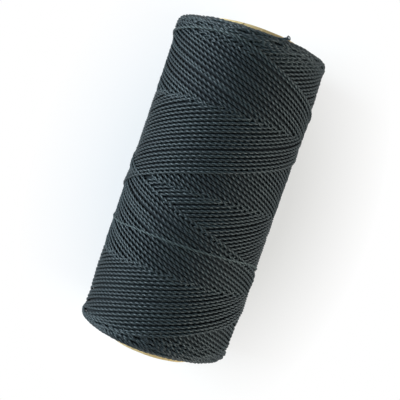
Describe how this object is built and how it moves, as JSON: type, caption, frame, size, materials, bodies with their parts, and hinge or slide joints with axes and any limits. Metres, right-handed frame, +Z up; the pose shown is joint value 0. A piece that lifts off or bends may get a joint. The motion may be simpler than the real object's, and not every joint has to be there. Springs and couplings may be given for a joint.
{
  "type": "waxed thread spool",
  "caption": "Spool of waxed thread: one dark twisted cord cross-wound in layers on an open paper core, lying on its side.",
  "frame": {"origin": "on the surface the spool lies on, straight below its middle", "axes": "+Y along the core's axis, towards the end where the cord's loose end lies; +Z up from the surface; +X across the spool"},
  "size_m": [0.056, 0.1194, 0.056],
  "materials": {
    "kraft_paper": "matt, fibrous brown paper",
    "waxed_cord": "waxed polyester, dark slate with a soft sheen",
    "melted_cord": "melted polyester, hard and slightly glossy"
  },
  "bodies": {
    "root": {"core_ply_1": "kraft_paper", "core_ply_2": "kraft_paper", "core_ply_3": "kraft_paper", "core_ply_4": "kraft_paper", "cord_layer_1": "waxed_cord", "cord_layer_2": "waxed_cord", "cord_layer_3": "waxed_cord", "cord_layer_4": "waxed_cord", "cord_layer_5": "waxed_cord", "cord_layer_6": "waxed_cord", "cord_layer_7": "waxed_cord", "finishing_wrap": "waxed_cord", "cord_tail": "waxed_cord", "sealed_tip": "melted_cord"}
  },
  "joints": []
}
